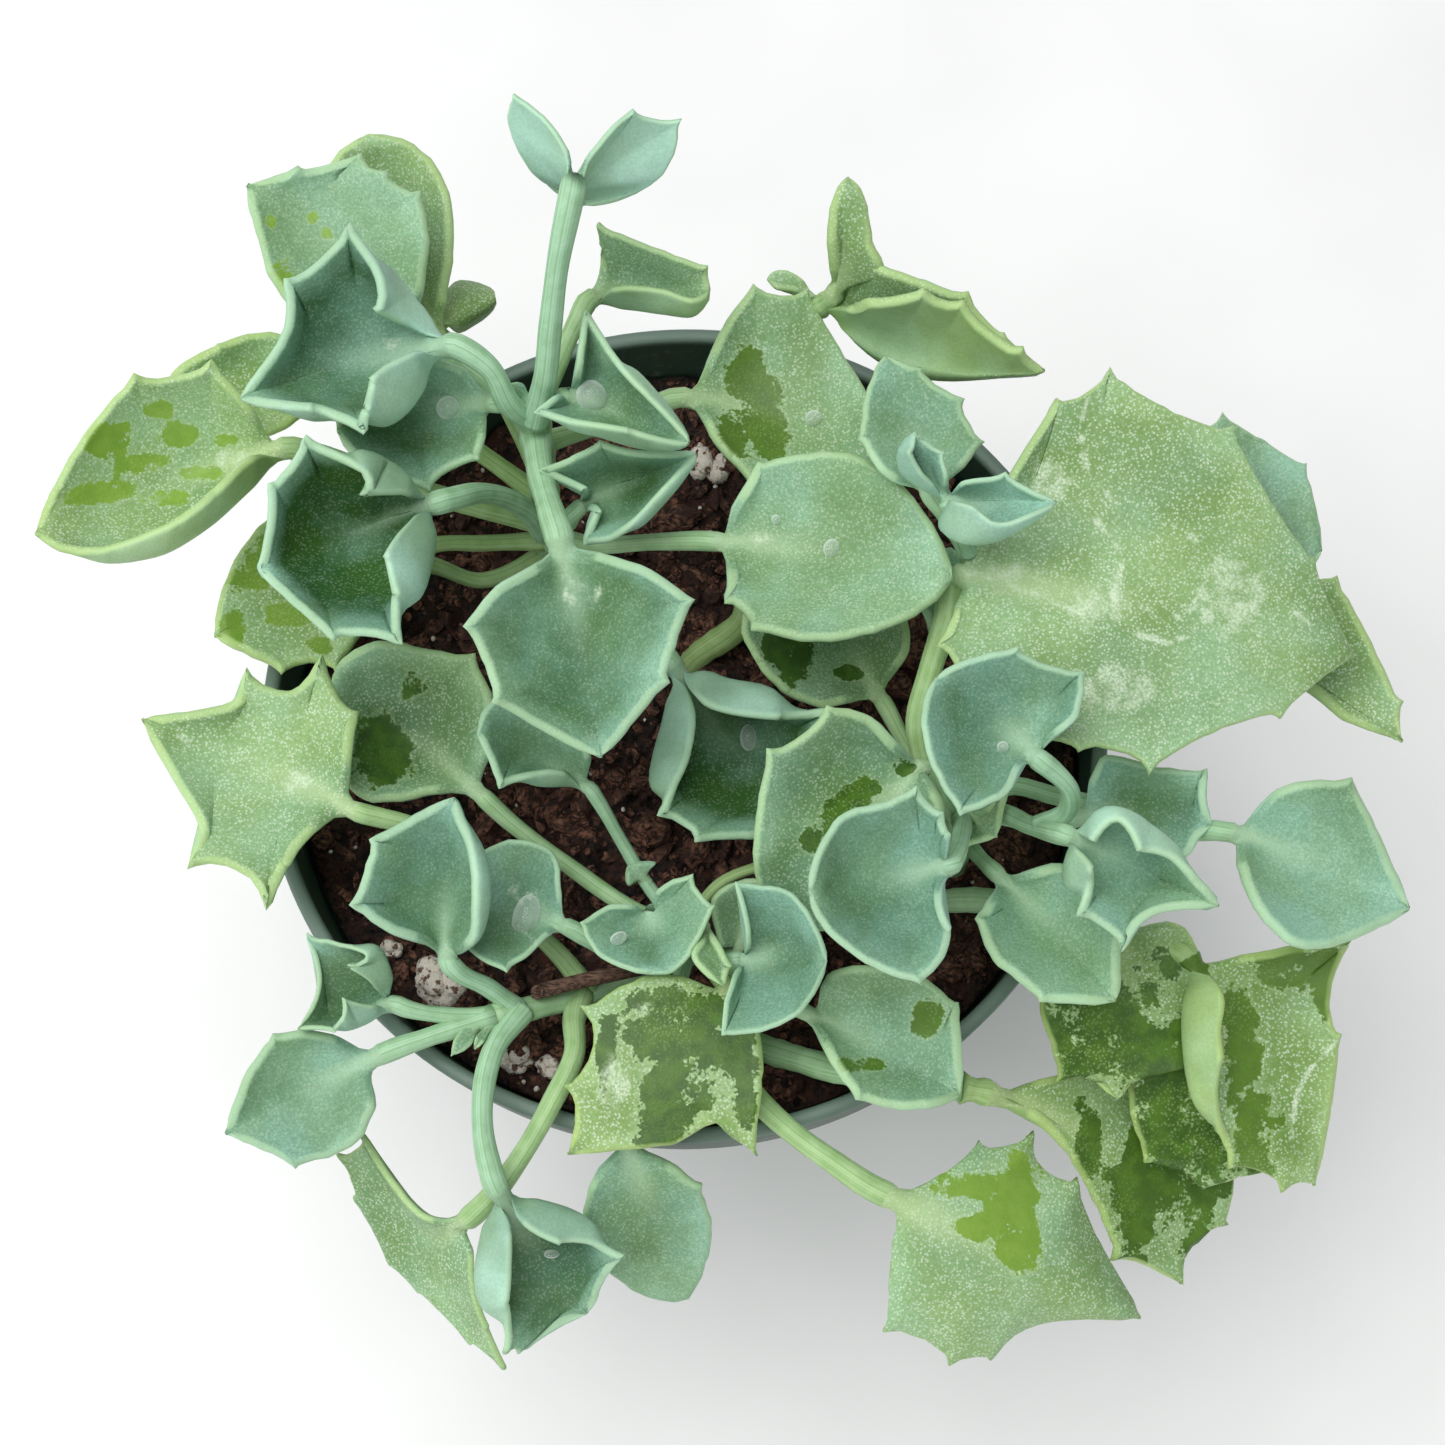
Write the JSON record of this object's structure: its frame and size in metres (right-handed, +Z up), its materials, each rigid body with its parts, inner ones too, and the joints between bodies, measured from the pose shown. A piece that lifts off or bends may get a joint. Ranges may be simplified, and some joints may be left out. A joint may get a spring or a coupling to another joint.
{
  "type": "potted spearhead senecio",
  "caption": "Trailing succulent with upright fleshy stems and cupped, toothed spearhead leaves on long stalks, standing in compost in a round tapered nursery pot.",
  "frame": {"origin": "centre of the pot's flat underside", "axes": "+Z up along the pot's axis, +X to the right and +Y to the back as the plant is seen from the front"},
  "size_m": [0.1671, 0.154, 0.1441],
  "materials": {
    "pot": "satin moulded plastic",
    "soil": "moist crumbly bark compost",
    "twig": "dry fibrous",
    "leaf": "waxy bloom over smooth flesh"
  },
  "bodies": {
    "root": {"pot": "pot", "soil": "soil", "dead_twig": "twig", "stem_back_left": "leaf", "stem_back": "leaf", "stem_right": "leaf", "stem_trailing_right": "leaf", "stem_trailing_front": "leaf", "stem_front_left": "leaf", "stem_front": "leaf"}
  },
  "joints": []
}
